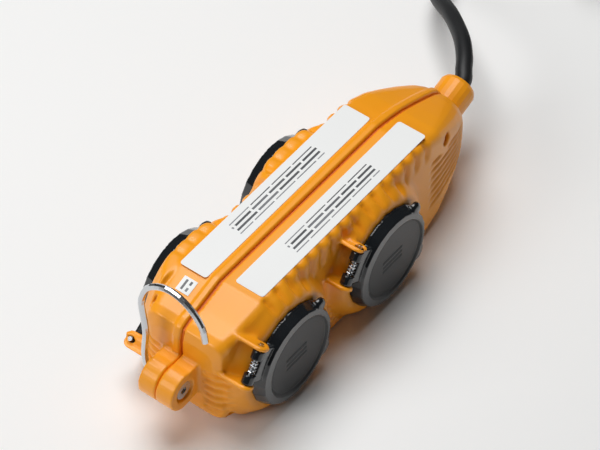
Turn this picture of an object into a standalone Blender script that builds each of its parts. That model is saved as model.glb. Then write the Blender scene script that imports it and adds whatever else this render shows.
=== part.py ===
"""Portable four-way outdoor socket block: two bolted half shells with four lidded sockets,
a wire hanging hook at the front and a rubber mains cord leaving through a sleeve at the rear.

Frame: metres, +Z up, +X towards the cord, origin under the middle of the box on the surface it
stands on. The right side is -Y. The housing is two like halves: the left one is the right one
turned half a turn about the box's long axis, so everything is placed on the right side first.
"""
import math

import bmesh
import bpy
from mathutils import Matrix, Vector

MM = 0.001
GAP = 0.3 * MM                    # clearance between pieces that touch

# housing
HEIGHT = 71.6 * MM
HALF_WIDTH = 26.5 * MM            # flat side wall from the seam plane
WALL = 2.6 * MM
SEAM_GAP = 1.4 * MM               # between the half shells, filled by the gasket
SOCKET_PITCH = 79 * MM
SOCKET_MIDDLE_X = -26 * MM        # midway between the two sockets of a side
SOCKET_DROP = 3.4 * MM            # right sockets below mid-height, left ones above it
FRONT_X = SOCKET_MIDDLE_X - 81.5 * MM
REAR_X = SOCKET_MIDDLE_X + 134 * MM

# sockets
COLLAR_RADIUS = 31 * MM
COLLAR_FACE = 32.7 * MM           # collar front from the seam plane
WELL_RADIUS = 19.5 * MM
WELL_DEPTH = 17.5 * MM
INSERT_RADIUS = 22 * MM
INSERT_FLANGE_RADIUS = 27.5 * MM
INSERT_FLANGE = 2 * MM
INSERT_FLOOR = 2.4 * MM
CONTACT_OFFSET = 9.5 * MM         # contact holes above and below the socket's centre
CONTACT_HOLE_RADIUS = 2.8 * MM
EARTH_OFFSET = 10 * MM            # earth pin beside the centre, towards the cord
EARTH_PIN_RADIUS = 2.4 * MM
EARTH_PIN_REACH = 14 * MM         # out of the well's floor
SHUTTER_THICKNESS = 1 * MM
SHUTTER_TRAVEL = 6.2 * MM
SHUTTER_SIZE = (17 * MM, 27 * MM)

# lids and their hinges
LID_RADIUS = 29 * MM
LID_THICKNESS = 6 * MM
LID_SKIRT = 2.2 * MM
LID_TOP = 2.4 * MM
SEAL_WIDTH = 2.4 * MM
HINGE_ANGLE = math.radians(34)    # hinge middle above the forward direction
HINGE_REACH = 38 * MM             # socket centre to pin
HINGE_DEPTH = 36 * MM             # pin from the seam plane
PIN_RADIUS = 1.25 * MM
KNUCKLE_RADIUS = 3.2 * MM
KNUCKLE_WIDTH = 18.6 * MM
SPRING_SLOT = 8.4 * MM
SPRING_WIRE_RADIUS = 0.35 * MM
EAR_OFFSET = 10.9 * MM
EAR_THICKNESS = 2.4 * MM
EAR_RADIUS = 4.6 * MM
EAR_ROOT = 5 * MM                 # how far an ear reaches in past the side wall's face

# live parts
BAR_THICKNESS = 0.8 * MM
BAR_HEIGHT = 6 * MM
CLIP_OUTER = 6.4 * MM
CLIP_BORE_RADIUS = 2.45 * MM
CLIP_DEPTH = 7 * MM

# housing screws: place from the socket middle and height on the right side
SCREW_SPOTS = ((-72.8 * MM, 10.5 * MM), (104 * MM, 56.5 * MM))
SCREW_RADIUS = 1.75 * MM
SCREW_HEAD_RADIUS = 3.2 * MM
SCREW_HEAD = 2.4 * MM
SCREW_HEAD_FACE = 18.5 * MM
SCREW_REACH = 10 * MM
BOSS_RADIUS = 5 * MM

# lug, hook and its washer
LUG_RADIUS = 11 * MM
LUG_X = FRONT_X - 10.5 * MM
LUG_HALF_WIDTH = 10.5 * MM
LUG_WEB = LUG_RADIUS - 0.7 * MM   # half height of the web behind the barrel
LUG_ROOT = 1.3 * MM               # how far the web runs into the front wall
HOOK_RADIUS = 1.7 * MM
HOOK_LEAN = 0.06                  # rearward shift for each unit of height
HOOK_ROUTE = ((-8.6, 0), (10, 0), (13.2, 1.6), (14.4, 5), (15.1, 11), (14.7, 19), (14.4, 25),
              (15.4, 33), (16.9, 41), (17.1, 47.5), (13.9, 56.6), (8.2, 61.8), (2.2, 64.2),
              (-3.4, 64.2), (-8.9, 62.4), (-14.1, 59), (-18, 54.9), (-20.6, 50), (-21.8, 43.5))
WASHER_RADIUS = 5 * MM
WASHER_THICKNESS = 0.8 * MM
LUG_RECESS = 2.2 * MM

# cord outlet
CORD_RADIUS = 4.6 * MM
SLEEVE_RADIUS = 10.2 * MM
SLEEVE_ROOT_X = REAR_X - 4.5 * MM
SLEEVE_LENGTH = 22.5 * MM
SLEEVE_FLANGE_RADIUS = 13 * MM
SLEEVE_FLANGE = 3 * MM
SLEEVE_PITCH = math.radians(10)   # upwards
SLEEVE_YAW = math.radians(4)      # towards the left side
CORD_INNER_LENGTH = 24 * MM       # inside, from the sleeve's flange to the wires
CLAMP_SIZE = (9 * MM, 24 * MM, 5 * MM)
CLAMP_SCREW_OFFSET = 8 * MM
CLAMP_SCREW_RADIUS = 1.4 * MM
WIRE_RADIUS = 1.4 * MM

# stickers on top: middle from the socket middle, size along X and Y
LABELS = {"label_left": (13.8 * MM, 15.1 * MM, 133.7 * MM, 16.5 * MM),
          "label_right": (21 * MM, -14 * MM, 133.9 * MM, 17.1 * MM),
          "label_small": (-60.3 * MM, 13.1 * MM, 8.4 * MM, 8 * MM)}
LABEL_THICKNESS = 0.2 * MM
LABEL_GAP = 0.1 * MM

# cord outside: points of its route from the sleeve's mouth, then a tied hank in line with the box
CORD_ROUTE = ((135.4, 5.6, 41.9), (142, 9.9, 42.5), (151.9, 18.2, 41.4),
              (160.9, 27.5, 38.3), (170.4, 39.1, 34.5), (179.6, 51.7, 28.5), (187.2, 60, 23.5),
              (196.4, 66.4, 18), (207.5, 70.6, 12.9), (220, 72.3, 9), (233, 72.5, 6.9),
              (247, 72.5, 6.2), (268, 72.5, 6.2), (289.5, 72.5, 6.2))
HANK_FOLD = 27.8 * MM             # radius of its innermost turn's folded ends
HANK_STRAIGHT = 89 * MM           # straight part of each run
HANK_COLUMNS = 4
HANK_LAYERS = 6
PLUG_RADIUS = 18.5 * MM
PLUG_LENGTH = 42 * MM
PLUG_RELIEF = 30 * MM
PLUG_FRONT = 93 * MM              # plug's middle past the start of the hank's straight run
# the cord's last stretch, from the hank's top up to the plug's relief, from the plug's middle
CORD_TAIL = ((-93, 0, -13.9), (-82, 0, -12.8), (-71, 0, -10), (-60, 0, -6.4), (-49, 0, -2.9),
             (-40, 0, -0.8), (-30.8, 0, 0))
PLUG_PIN_LENGTH = 19 * MM
PLUG_PIN_RADIUS = 2.4 * MM

ROUND_STEPS = 24
MIDDLE_Z = HEIGHT / 2
SOCKET_Z = MIDDLE_Z - SOCKET_DROP
SOCKET_XS = (SOCKET_MIDDLE_X - SOCKET_PITCH / 2, SOCKET_MIDDLE_X + SOCKET_PITCH / 2)
WELL_FLOOR = COLLAR_FACE - WELL_DEPTH
INSERT_BACK = WELL_FLOOR - INSERT_FLOOR
SHUTTER_BACK = INSERT_BACK - GAP - SHUTTER_THICKNESS
BAR_FACE = SHUTTER_BACK - GAP

for old in list(bpy.data.objects):
    bpy.data.objects.remove(old, do_unlink=True)

parts = bpy.data.collections.new("socket_block")
tools = bpy.data.collections.new("cutters")
bpy.context.scene.collection.children.link(parts)
bpy.context.scene.collection.children.link(tools)


def material(name, colour, roughness, metallic=0.0):
    made = bpy.data.materials.new(name)
    made.use_nodes = True
    shader = made.node_tree.nodes["Principled BSDF"]
    shader.inputs["Base Color"].default_value = (*colour, 1)
    shader.inputs["Roughness"].default_value = roughness
    shader.inputs["Metallic"].default_value = metallic
    return made


ORANGE = material("orange_housing", (1.0, 0.36, 0.02), 0.4)
BLACK = material("black_plastic", (0.03, 0.03, 0.035), 0.45)
RUBBER = material("black_rubber", (0.02, 0.02, 0.02), 0.6)
STEEL = material("bright_steel", (0.7, 0.7, 0.68), 0.25, 1.0)
BRASS = material("brass", (0.75, 0.55, 0.2), 0.3, 1.0)
PAPER = material("white_label", (0.9, 0.9, 0.9), 0.5)
SHUTTER_GREY = material("grey_plastic", (0.4, 0.4, 0.42), 0.5)
WIRE_COLOURS = {"live": material("brown_wire", (0.2, 0.07, 0.03), 0.4),
                "neutral": material("blue_wire", (0.05, 0.15, 0.6), 0.4),
                "earth": material("green_wire", (0.1, 0.5, 0.1), 0.4)}

HALF_TURN = Matrix.Translation((0, 0, HEIGHT)) @ Matrix.Rotation(math.pi, 4, "X")
SIDES = {"right": Matrix.Identity(4), "left": HALF_TURN}
OUTWARD = Matrix.Rotation(math.pi / 2, 4, "X")   # local +Z points out of the right side


def put(name, mesh, place, finish, collection=parts, smooth=True):
    """Makes the object that shows a mesh at a place."""
    made = bpy.data.objects.new(name, mesh)
    collection.objects.link(made)
    made.matrix_world = place
    mesh.materials.append(finish)
    if smooth:
        mesh.shade_smooth()
        mesh.set_sharp_from_angle(angle=math.radians(35))
    if collection is tools:
        made.hide_render = True
        made.display_type = "WIRE"
    return made


def box_mesh(name, low, high):
    """A box between two corners."""
    grid = bmesh.new()
    bmesh.ops.create_cube(grid, size=1)
    low, high = Vector(low), Vector(high)
    size = high - low
    bmesh.ops.scale(grid, vec=size, verts=grid.verts)
    bmesh.ops.translate(grid, vec=(low + high) / 2, verts=grid.verts)
    return finish_mesh(name, grid)


def rod_mesh(name, radius, low, high, centre=(0, 0), steps=ROUND_STEPS, top_radius=None):
    """A cylinder or cone along Z between two heights."""
    grid = bmesh.new()
    bmesh.ops.create_cone(grid, cap_ends=True, segments=steps, radius1=radius,
                          radius2=radius if top_radius is None else top_radius, depth=high - low)
    bmesh.ops.translate(grid, vec=(centre[0], centre[1], (low + high) / 2), verts=grid.verts)
    return finish_mesh(name, grid)


def finish_mesh(name, grid):
    mesh = bpy.data.meshes.new(name)
    grid.to_mesh(mesh)
    grid.free()
    return mesh


def turned(name, profile, place, finish, collection=parts, steps=ROUND_STEPS):
    """A profile of (radius, height) points, from the axis at the top round to the axis below
    or round a closed ring, turned about local Z."""
    mesh = bpy.data.meshes.new(name)
    points = [(radius, 0, height) for radius, height in profile]
    edges = [(i, i + 1) for i in range(len(points) - 1)]
    if profile[0][0] > 0:
        edges.append((len(points) - 1, 0))
    mesh.from_pydata(points, edges, [])
    made = put(name, mesh, place, finish, collection, smooth=False)
    screw = made.modifiers.new("turn", "SCREW")
    screw.steps = screw.render_steps = steps
    screw.use_merge_vertices = True
    screw.merge_threshold = 0.00001
    return made


def combine(target, other, operation):
    """Adds or cuts another object."""
    change = target.modifiers.new(operation.lower(), "BOOLEAN")
    change.operation = operation
    change.object = other
    change.solver = "EXACT"


def join(target, other):
    combine(target, other, "UNION")


def cut(target, other):
    combine(target, other, "DIFFERENCE")


def tube(name, points, radius, finish, place=Matrix.Identity(4), resolution=2):
    """A round wire or cord through a list of points."""
    curve = bpy.data.curves.new(name, "CURVE")
    curve.dimensions = "3D"
    curve.bevel_depth = radius
    curve.bevel_resolution = resolution
    curve.use_fill_caps = True
    spline = curve.splines.new("POLY")
    spline.points.add(len(points) - 1)
    for target, point in zip(spline.points, points):
        target.co = (*point, 1)
    curve.materials.append(finish)
    made = bpy.data.objects.new(name, curve)
    parts.objects.link(made)
    made.matrix_world = place
    return made


def smooth_path(points, per_span):
    """Points of a smooth curve through a route."""
    route = [Vector(point) for point in points]
    ends = [2 * route[0] - route[1]] + route + [2 * route[-1] - route[-2]]
    path = []
    for i in range(1, len(route)):
        a, b, c, d = ends[i - 1:i + 3]
        for k in range(per_span):
            t = k / per_span
            path.append(0.5 * (2 * b + (c - a) * t + (2 * a - 5 * b + 4 * c - d) * t ** 2
                               + (3 * b - a - 3 * c + d) * t ** 3))
    path.append(route[-1])
    return path


# ---- half shells ---------------------------------------------------------------------------
# along the box: distance from the socket middle, fall of the top, half width, corner radius
STATIONS = ((-81.5, 21, 13.5, 9), (-81.0, 14, 19.5, 8), (-79.2, 8.5, 23.2, 7), (-75, 6.3, 24.8, 6),
            (-66, 4.9, 25.5, 5), (-58, 2.4, 26, 4.5), (-50, 0, 26.5, 4), (0, 0, 26.5, 4), (78, 0, 26.5, 4),
            (88, 1.8, 26.3, 5), (98, 4.2, 25.4, 6), (108, 7.8, 23.6, 8), (118, 11.8, 21.4, 10),
            (126, 15.3, 18.6, 11), (131, 18.6, 15.8, 11.5), (134, 22, 12.6, 11.5))
STATION_HALF_WIDTH = 26.5         # the widest station, for HALF_WIDTH
CORNER_STEPS = 4


def half_ring(fall, half_width, corner, inset):
    """The right half's outline at one station, from the seam at the top to the seam below."""
    width = half_width - inset
    top = HEIGHT - fall - inset
    radius = max(corner - inset, 0.8 * MM)
    radius = min(radius, width * 0.9, (2 * top - HEIGHT) * 0.45)
    points = [(0, top)]
    for k in range(CORNER_STEPS + 1):
        angle = math.pi / 2 * k / CORNER_STEPS
        points.append((-(width - radius + radius * math.sin(angle)),
                       top - radius + radius * math.cos(angle)))
    points += [(y, HEIGHT - z) for y, z in reversed(points)]
    return points


def hull_stations(inset):
    """The stations that lie inside the end walls, in metres."""
    across = HALF_WIDTH / (STATION_HALF_WIDTH * MM)
    along = (REAR_X - FRONT_X) / ((STATIONS[-1][0] - STATIONS[0][0]) * MM)
    kept = []
    for x, fall, half_width, corner in STATIONS:
        place = FRONT_X + (x - STATIONS[0][0]) * MM * along
        if FRONT_X + inset <= place + MM / 10 and place - MM / 10 <= REAR_X - inset:
            kept.append((place, fall * MM, half_width * MM * across, corner * MM))
    return kept


def half_hull(name, inset, seam):
    """A closed loft through the stations, its flat face near the seam plane."""
    grid = bmesh.new()
    rings = []
    for place, fall, half_width, corner in hull_stations(inset):
        outline = half_ring(fall, half_width, corner, inset)
        rings.append([grid.verts.new((place, min(y, -seam), z)) for y, z in outline])
    for near, far in zip(rings, rings[1:]):
        for k in range(len(near)):
            following = (k + 1) % len(near)
            grid.faces.new((near[k], near[following], far[following], far[k]))
    grid.faces.new(list(reversed(rings[0])))
    grid.faces.new(rings[-1])
    bmesh.ops.remove_doubles(grid, verts=grid.verts, dist=0.00001)
    bmesh.ops.recalc_face_normals(grid, faces=grid.faces)
    bmesh.ops.triangulate(grid, faces=grid.faces)
    return finish_mesh(name, grid)


def socket_place(side, x):
    """Local +Z points out of the side, from the seam plane through the socket's centre."""
    return SIDES[side] @ Matrix.Translation((x, 0, SOCKET_Z)) @ OUTWARD


def hinge_place(side, x):
    """Local Y along the pin, local X towards the socket's centre, local Z outwards."""
    reach = Matrix.Translation((-HINGE_REACH * math.cos(HINGE_ANGLE),
                                HINGE_REACH * math.sin(HINGE_ANGLE), HINGE_DEPTH))
    return socket_place(side, x) @ reach @ Matrix.Rotation(-HINGE_ANGLE, 4, "Z")


def screw_place(side, spot):
    return SIDES[side] @ Matrix.Translation((SOCKET_MIDDLE_X + spot[0], 0, spot[1])) @ OUTWARD


SLEEVE_PLACE = (Matrix.Translation((SLEEVE_ROOT_X, 0, MIDDLE_Z))
                @ Matrix.Rotation(SLEEVE_YAW, 4, "Z") @ Matrix.Rotation(-SLEEVE_PITCH, 4, "Y")
                @ Matrix.Rotation(math.pi / 2, 4, "Y"))
LUG_PLACE = Matrix.Translation((LUG_X, 0, MIDDLE_Z)) @ OUTWARD


def ear_mesh(low, high):
    """A hinge ear between two places along the pin: a plate with a round end."""
    root = HINGE_DEPTH - HALF_WIDTH + EAR_ROOT
    outline = [(-EAR_RADIUS, root), (EAR_RADIUS, root)]
    for k in range(9):
        angle = math.pi * k / 8
        outline.append((EAR_RADIUS * math.cos(angle), -EAR_RADIUS * math.sin(angle)))
    grid = bmesh.new()
    base = grid.faces.new([grid.verts.new((x, y, low)) for x, y in outline])
    raised = bmesh.ops.extrude_face_region(grid, geom=[base])
    top = [item for item in raised["geom"] if isinstance(item, bmesh.types.BMVert)]
    bmesh.ops.translate(grid, vec=(0, 0, high - low), verts=top)
    bmesh.ops.recalc_face_normals(grid, faces=grid.faces)
    return finish_mesh("ear", grid)


def make_shell(side):
    other = "left" if side == "right" else "right"
    turn = SIDES[side]
    name = side + "_shell"
    shell = put(name, half_hull(name, 0, SEAM_GAP / 2), turn, ORANGE)
    cavity = put(name + "_cavity", half_hull(name + "_cavity", WALL, -1 * MM), turn, ORANGE, tools)

    for i, spot in enumerate(SCREW_SPOTS):
        for owner in (side, other):
            boss = rod_mesh("boss", BOSS_RADIUS, -HALF_WIDTH, HALF_WIDTH, steps=10)
            cut(cavity, put(f"{name}_boss_{owner}_{i}", boss, screw_place(owner, spot), ORANGE, tools))
    cut(shell, cavity)

    for i, x in enumerate(SOCKET_XS):
        holder = rod_mesh("holder", INSERT_RADIUS + 2.6 * MM, INSERT_BACK, HALF_WIDTH - 1.1 * MM)
        join(shell, put(f"{name}_holder_{i}", holder, socket_place(side, x), ORANGE, tools))
        collar = rod_mesh("collar", COLLAR_RADIUS, HALF_WIDTH - WALL + 0.7 * MM, COLLAR_FACE)
        join(shell, put(f"{name}_collar_{i}", collar, socket_place(side, x), ORANGE, tools))
        for end in (-1, 1):
            low = end * EAR_OFFSET - EAR_THICKNESS / 2
            high = end * EAR_OFFSET + EAR_THICKNESS / 2
            lie = hinge_place(side, x) @ Matrix.Rotation(-math.pi / 2, 4, "X")
            join(shell, put(f"{name}_ear_{i}_{end}", ear_mesh(low, high), lie, ORANGE, tools))

    # half of the lug: a barrel across the front with a web to the front wall
    barrel_from = GAP / 2
    barrel = rod_mesh("lug", LUG_RADIUS, barrel_from, LUG_HALF_WIDTH, steps=24)
    lug_side = Matrix.Translation((0, 0, 0)) if side == "right" else HALF_TURN
    lug_lie = lug_side @ LUG_PLACE
    lug = put(name + "_lug", barrel, lug_lie, ORANGE, tools)
    web = box_mesh("web", (0, -LUG_WEB, barrel_from),
                   (FRONT_X - LUG_X + LUG_ROOT, LUG_WEB, LUG_HALF_WIDTH))
    join(shell, put(name + "_web", web, lug_lie, ORANGE, tools))
    join(shell, lug)

    for i, x in enumerate(SOCKET_XS):
        place = socket_place(side, x)
        bore = rod_mesh("bore", INSERT_RADIUS + GAP, INSERT_BACK - 1 * MM, COLLAR_FACE + 1 * MM)
        cut(shell, put(f"{name}_bore_{i}", bore, place, ORANGE, tools))
        seat = rod_mesh("seat", INSERT_FLANGE_RADIUS + GAP, COLLAR_FACE - INSERT_FLANGE - GAP,
                        COLLAR_FACE + 1.2 * MM)
        cut(shell, put(f"{name}_seat_{i}", seat, place, ORANGE, tools))
        for end in (-1, 1):
            low = end * EAR_OFFSET - EAR_THICKNESS
            hole = rod_mesh("pin_hole", PIN_RADIUS + GAP, low, low + 2 * EAR_THICKNESS, steps=10)
            lie = hinge_place(side, x) @ Matrix.Rotation(-math.pi / 2, 4, "X")
            cut(shell, put(f"{name}_pin_hole_{i}_{end}", hole, lie, ORANGE, tools))
    for i, spot in enumerate(SCREW_SPOTS):
        place = screw_place(side, spot)
        recess = rod_mesh("recess", SCREW_HEAD_RADIUS + GAP, SCREW_HEAD_FACE - SCREW_HEAD - GAP,
                          HALF_WIDTH + 4 * MM, steps=14)
        cut(shell, put(f"{name}_recess_{i}", recess, place, ORANGE, tools))
        for owner, low, high in ((side, -1 * MM, SCREW_HEAD_FACE - 1 * MM),
                                 (other, -SCREW_REACH - 1 * MM, 1 * MM)):
            hole = rod_mesh("screw_hole", SCREW_RADIUS + GAP, low, high, steps=10)
            cut(shell, put(f"{name}_screw_hole_{owner}_{i}", hole, screw_place(owner, spot),
                           ORANGE, tools))
    hook_bore = rod_mesh("hook_bore", HOOK_RADIUS + GAP, -LUG_HALF_WIDTH - 1 * MM,
                         LUG_HALF_WIDTH + 1 * MM, steps=14)
    cut(shell, put(name + "_hook_bore", hook_bore, LUG_PLACE, ORANGE, tools))
    if side == "right":
        washer_seat = rod_mesh("washer_seat", WASHER_RADIUS + 1.2 * MM, LUG_HALF_WIDTH - LUG_RECESS,
                               LUG_HALF_WIDTH + 1 * MM, steps=24)
        cut(shell, put(name + "_washer_seat", washer_seat, LUG_PLACE, ORANGE, tools))
    outlet = rod_mesh("outlet", SLEEVE_RADIUS + GAP, -SLEEVE_FLANGE, SLEEVE_LENGTH, steps=24)
    cut(shell, put(name + "_outlet", outlet, SLEEVE_PLACE, ORANGE, tools))
    flange_room = rod_mesh("flange_room", SLEEVE_FLANGE_RADIUS + GAP, -SLEEVE_FLANGE - GAP, GAP)
    cut(shell, put(name + "_flange_room", flange_room, SLEEVE_PLACE, ORANGE, tools))
    return shell


for side_name in SIDES:
    make_shell(side_name)


# ---- seam gasket: a flat ring that follows the seam -----------------------------------------
def seam_outline(inset):
    top = [(place, HEIGHT - fall - inset) for place, fall, _, _ in hull_stations(0)]
    top[0] = (FRONT_X + inset, top[0][1])
    top[1] = (FRONT_X + inset + 0.4 * MM, top[1][1])
    top[-1] = (REAR_X - inset, top[-1][1])
    return top + [(x, HEIGHT - z) for x, z in reversed(top)]


def make_gasket():
    half = SEAM_GAP / 2 - GAP / 2
    grid = bmesh.new()
    loops = []
    for y in (-half, half):
        for inset in (0.9 * MM, WALL - 0.3 * MM):
            loops.append([grid.verts.new((x, y, z)) for x, z in seam_outline(inset)])
    outer_low, inner_low, outer_high, inner_high = loops
    for near, far in ((outer_low, outer_high), (outer_high, inner_high), (inner_high, inner_low),
                      (inner_low, outer_low)):
        for k in range(len(near)):
            following = (k + 1) % len(near)
            grid.faces.new((near[k], near[following], far[following], far[k]))
    bmesh.ops.recalc_face_normals(grid, faces=grid.faces)
    gasket = put("seam_gasket", finish_mesh("seam_gasket", grid), Matrix.Identity(4), RUBBER,
                 smooth=False)
    pass_sleeve = rod_mesh("sleeve_pass", SLEEVE_FLANGE_RADIUS + GAP, -SLEEVE_FLANGE - GAP,
                           SLEEVE_LENGTH)
    cut(gasket, put("gasket_sleeve_pass", pass_sleeve, SLEEVE_PLACE, RUBBER, tools))
    notch = box_mesh("notch", (FRONT_X - 1 * MM, -LUG_HALF_WIDTH, MIDDLE_Z - LUG_WEB - GAP),
                     (FRONT_X + LUG_ROOT + GAP, LUG_HALF_WIDTH, MIDDLE_Z + LUG_WEB + GAP))
    cut(gasket, put("gasket_notch", notch, Matrix.Identity(4), RUBBER, tools))


make_gasket()


# ---- sockets: insert, earth pin and shutter -------------------------------------------------
def make_socket(side, number, x):
    label = f"{side}_{number}"
    place = socket_place(side, x)
    face = COLLAR_FACE
    insert = turned("socket_insert_" + label,
                    ((0, WELL_FLOOR), (WELL_RADIUS, WELL_FLOOR), (WELL_RADIUS, face),
                        (INSERT_FLANGE_RADIUS, face), (INSERT_FLANGE_RADIUS, face - INSERT_FLANGE),
                        (INSERT_RADIUS, face - INSERT_FLANGE), (INSERT_RADIUS, INSERT_BACK),
                        (0, INSERT_BACK)),
                    place, BLACK)
    for sign, name in ((1, "upper"), (-1, "lower")):
        hole = rod_mesh("contact_hole", CONTACT_HOLE_RADIUS, INSERT_BACK - 1 * MM,
                        WELL_FLOOR + 1 * MM, centre=(0, sign * CONTACT_OFFSET), steps=14)
        cut(insert, put(f"contact_hole_{name}_{label}", hole, place, BLACK, tools))
    earth_hole = rod_mesh("earth_hole", EARTH_PIN_RADIUS + GAP, INSERT_BACK - 1 * MM,
                          WELL_FLOOR + 1 * MM, centre=(EARTH_OFFSET, 0), steps=14)
    cut(insert, put("earth_hole_" + label, earth_hole, place, BLACK, tools))

    put("earth_pin_" + label,
        rod_mesh("earth_pin", EARTH_PIN_RADIUS, BAR_FACE + GAP, WELL_FLOOR + EARTH_PIN_REACH,
                 centre=(EARTH_OFFSET, 0), steps=14), place, BRASS)

    # closed shutter: its own holes lie one travel away from the contact holes
    half_x, half_y = SHUTTER_SIZE[0] / 2, SHUTTER_SIZE[1] / 2
    shift = -2.6 * MM
    plate = box_mesh("shutter", (shift - half_x, -half_y, SHUTTER_BACK),
                     (shift + half_x, half_y, SHUTTER_BACK + SHUTTER_THICKNESS))
    shutter = put("shutter_" + label, plate, place, SHUTTER_GREY, smooth=False)
    for sign, name in ((1, "upper"), (-1, "lower")):
        hole = rod_mesh("shutter_hole", CONTACT_HOLE_RADIUS, SHUTTER_BACK - 1 * MM,
                        SHUTTER_BACK + 2 * MM, centre=(-SHUTTER_TRAVEL, sign * CONTACT_OFFSET),
                        steps=10)
        cut(shutter, put(f"shutter_hole_{name}_{label}", hole, place, SHUTTER_GREY, tools))
    slot_half = EARTH_PIN_RADIUS + 2 * GAP
    slot = box_mesh("shutter_slot", (EARTH_OFFSET - SHUTTER_TRAVEL - slot_half, -slot_half,
                                     SHUTTER_BACK - 1 * MM),
                    (EARTH_OFFSET + 8 * MM, slot_half, SHUTTER_BACK + 2 * MM))
    cut(shutter, put("shutter_slot_" + label, slot, place, SHUTTER_GREY, tools))


# ---- lids ----------------------------------------------------------------------------------
def make_lid(side, number, x):
    label = f"{side}_{number}"
    hinge = hinge_place(side, x)
    back = COLLAR_FACE + GAP - HINGE_DEPTH
    face = back + LID_THICKNESS
    centre = (HINGE_REACH, 0)
    lid = put("lid_" + label,
              rod_mesh("lid", LID_RADIUS, back, face, centre, top_radius=LID_RADIUS - 2.4 * MM),
              hinge, BLACK)
    cheek = KNUCKLE_WIDTH / 2
    arm = box_mesh("arm", (0, -cheek, back + 0.4 * MM), (HINGE_REACH - LID_RADIUS + 5 * MM, cheek,
                                                         face - 1.6 * MM))
    join(lid, put("arm_" + label, arm, hinge, BLACK, tools))
    lie = hinge @ Matrix.Rotation(-math.pi / 2, 4, "X")
    knuckle = rod_mesh("knuckle", KNUCKLE_RADIUS, -cheek, cheek, steps=14)
    join(lid, put("knuckle_" + label, knuckle, lie, BLACK, tools))
    hollow = rod_mesh("hollow", LID_RADIUS - LID_SKIRT, back - 1 * MM, face - LID_TOP, centre)
    cut(lid, put("lid_hollow_" + label, hollow, hinge, BLACK, tools))
    bore = rod_mesh("knuckle_bore", PIN_RADIUS + GAP, -cheek - 1 * MM, cheek + 1 * MM, steps=10)
    cut(lid, put("knuckle_bore_" + label, bore, lie, BLACK, tools))
    room = KNUCKLE_RADIUS + 0.5 * MM
    slot = box_mesh("spring_slot", (-room, -SPRING_SLOT / 2, -room), (room, SPRING_SLOT / 2, room))
    cut(lid, put("spring_slot_" + label, slot, hinge, BLACK, tools))

    outer = LID_RADIUS - LID_SKIRT - GAP
    depth = LID_THICKNESS - LID_TOP - GAP
    seal_place = hinge @ Matrix.Translation((HINGE_REACH, 0, back))
    turned("lid_seal_" + label, ((outer - SEAL_WIDTH, depth), (outer, depth), (outer, 0),
                                 (outer - SEAL_WIDTH, 0)), seal_place, RUBBER)

    reach = EAR_OFFSET + EAR_THICKNESS / 2 + 0.6 * MM
    put("hinge_pin_" + label, rod_mesh("hinge_pin", PIN_RADIUS, -reach, reach, steps=10), lie, STEEL)

    turns, per_turn = 4, 7
    coil_radius = PIN_RADIUS + GAP + SPRING_WIRE_RADIUS
    coil_length = SPRING_SLOT - 2 * GAP - 2 * SPRING_WIRE_RADIUS
    wire = []
    for k in range(turns * per_turn + 1):
        angle = 2 * math.pi * k / per_turn
        along = coil_length * (k / (turns * per_turn) - 0.5)
        wire.append((coil_radius * math.cos(angle), along, coil_radius * math.sin(angle)))
    tube("lid_spring_" + label, wire, SPRING_WIRE_RADIUS, STEEL, hinge, resolution=0)


# ---- contact strips: one bar along a side with a square clip behind each contact hole --------
def make_strip(side, kind, height):
    """A strip runs past both sockets of a side, at a height above their centres."""
    place = SIDES[side] @ Matrix.Translation((0, 0, SOCKET_Z)) @ OUTWARD
    front = SOCKET_XS[0] - 6 * MM
    rear = SOCKET_XS[1] + 22 * MM
    low = BAR_FACE - BAR_THICKNESS
    name = f"{kind}_strip_{side}"
    bar = put(name, box_mesh(name, (front, height - BAR_HEIGHT / 2, low),
                             (rear, height + BAR_HEIGHT / 2, BAR_FACE)), place, BRASS, smooth=False)
    if kind == "earth":
        return bar
    for i, x in enumerate(SOCKET_XS):
        half = CLIP_OUTER / 2
        clip = box_mesh("clip", (x - half, height - half, low - CLIP_DEPTH),
                        (x + half, height + half, low + BAR_THICKNESS / 2))
        join(bar, put(f"{name}_clip_{i}", clip, place, BRASS, tools))
    for i, x in enumerate(SOCKET_XS):
        bore = rod_mesh("clip_bore", CLIP_BORE_RADIUS, low - CLIP_DEPTH - 1 * MM, BAR_FACE + 1 * MM,
                        centre=(x, height), steps=10)
        cut(bar, put(f"{name}_clip_bore_{i}", bore, place, BRASS, tools))
    return bar


STRIP_HEIGHTS = {"live": CONTACT_OFFSET, "neutral": -CONTACT_OFFSET, "earth": 0.0}

for side_name in SIDES:
    for number, socket_x in enumerate(SOCKET_XS, 1):
        make_socket(side_name, number, socket_x)
        make_lid(side_name, number, socket_x)
    for strip_kind, strip_height in STRIP_HEIGHTS.items():
        make_strip(side_name, strip_kind, strip_height)


# ---- housing screws ------------------------------------------------------------------------
def make_screw(name, place, radius, head_radius, head, head_face, reach):
    turned(name, ((0, head_face), (head_radius, head_face), (head_radius, head_face - head),
                  (radius, head_face - head), (radius, -reach), (0, -reach)),
           place, STEEL, steps=10)


for side_name in SIDES:
    for number, screw_spot in enumerate(SCREW_SPOTS, 1):
        make_screw(f"housing_screw_{side_name}_{number}", screw_place(side_name, screw_spot),
                   SCREW_RADIUS, SCREW_HEAD_RADIUS, SCREW_HEAD, SCREW_HEAD_FACE, SCREW_REACH)


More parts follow.
